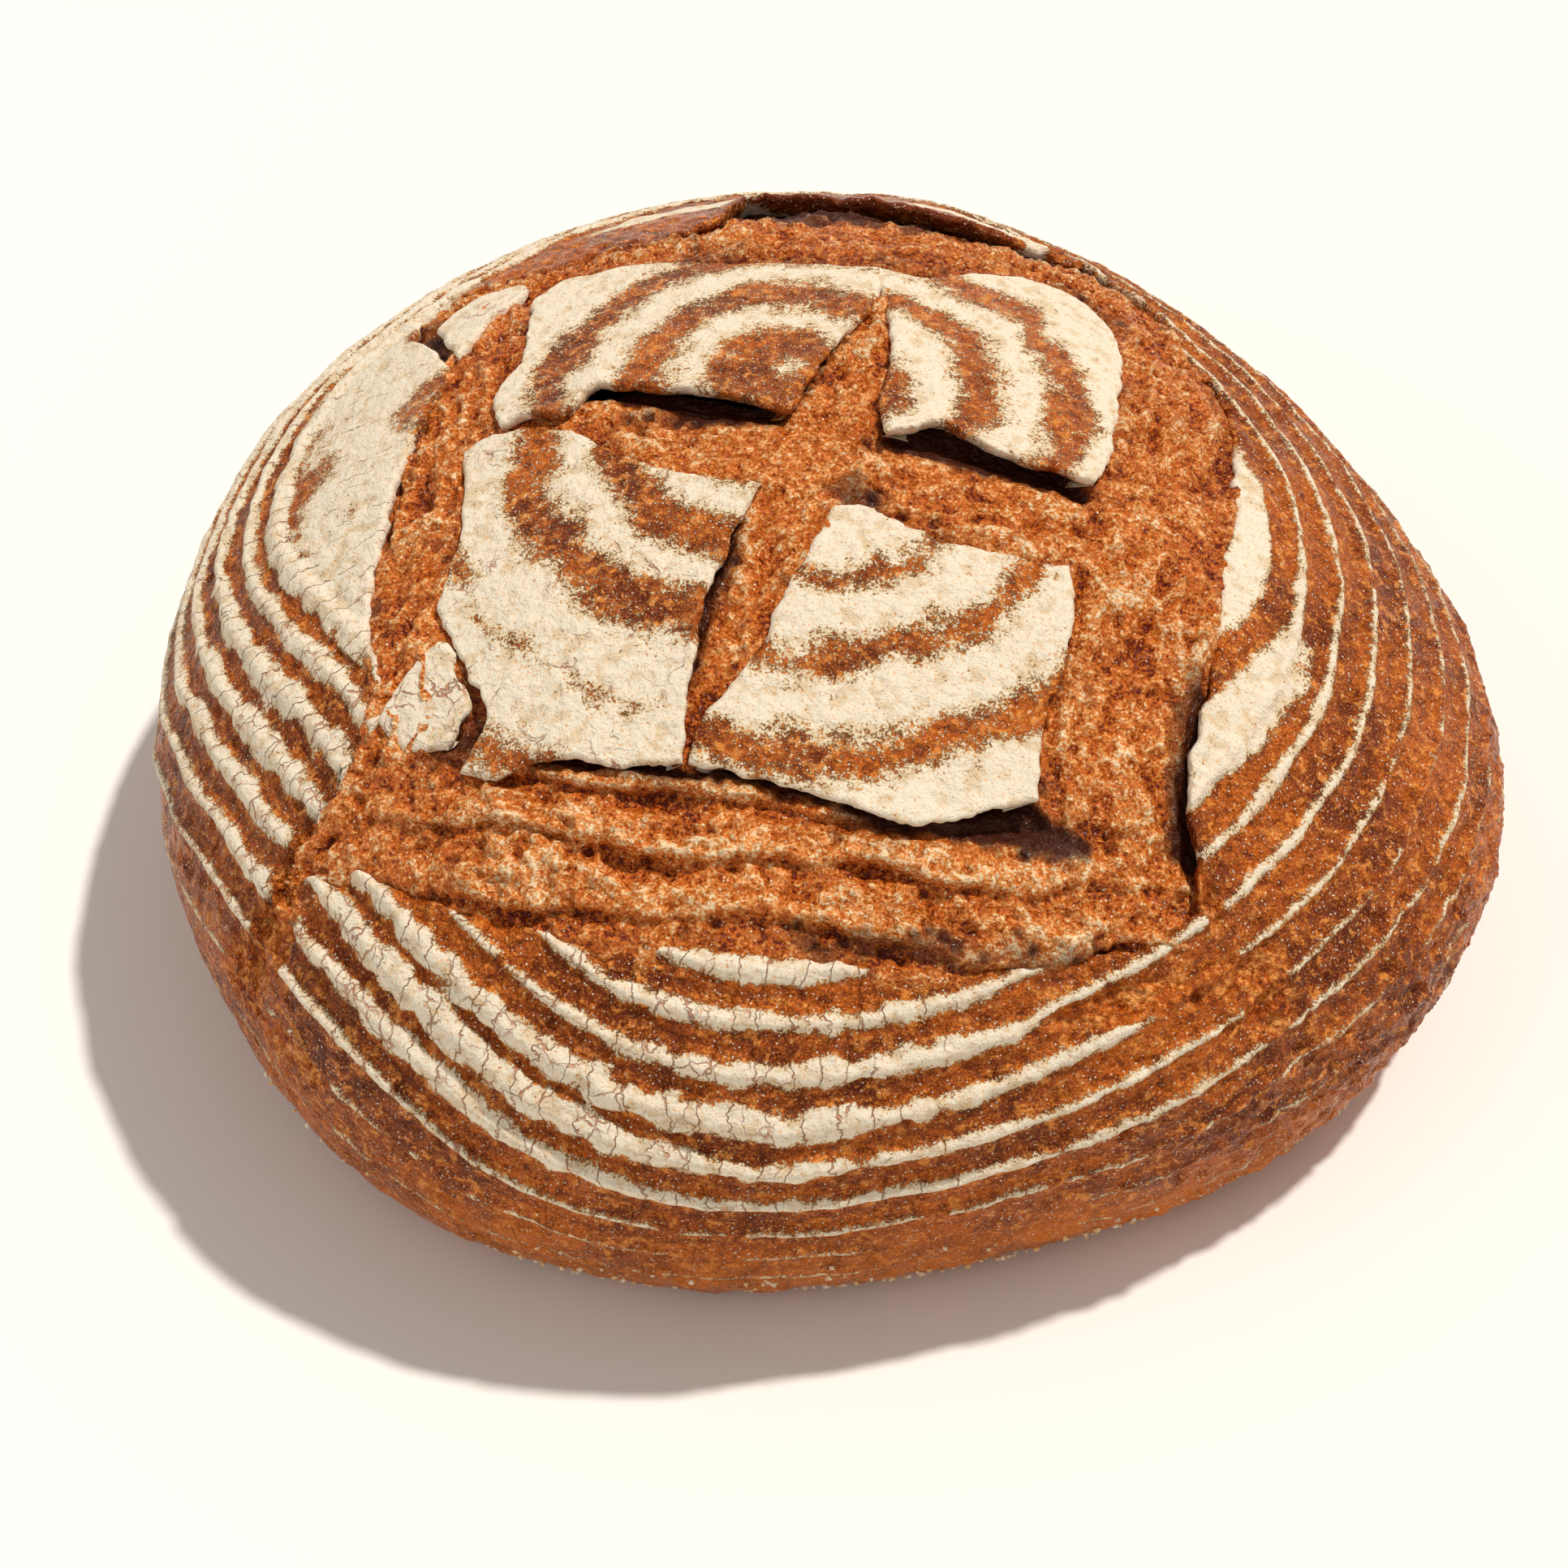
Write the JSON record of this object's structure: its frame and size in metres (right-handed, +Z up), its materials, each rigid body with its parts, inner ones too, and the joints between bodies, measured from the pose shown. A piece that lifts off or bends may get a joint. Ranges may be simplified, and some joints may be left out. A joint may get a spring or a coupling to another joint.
{
  "type": "sourdough loaf",
  "caption": "Round country sourdough loaf with spiral flour rings from its proving basket and an open square and cross of torn slashes on top.",
  "frame": {"origin": "middle of the outline's box, on the surface that the loaf rests on", "axes": "+Z up, -Y towards the widest slash, +X to the right of it"},
  "size_m": [0.2506, 0.2529, 0.1124],
  "materials": {
    "browned_crust": "matte, sandy baked crust with a fine dry blister",
    "floured_crust": "dry flour on crust, fully matte",
    "torn_crumb": "glossy caramelised tear, rough and blistered"
  },
  "bodies": {
    "root": {"loaf": "browned_crust"}
  },
  "joints": []
}
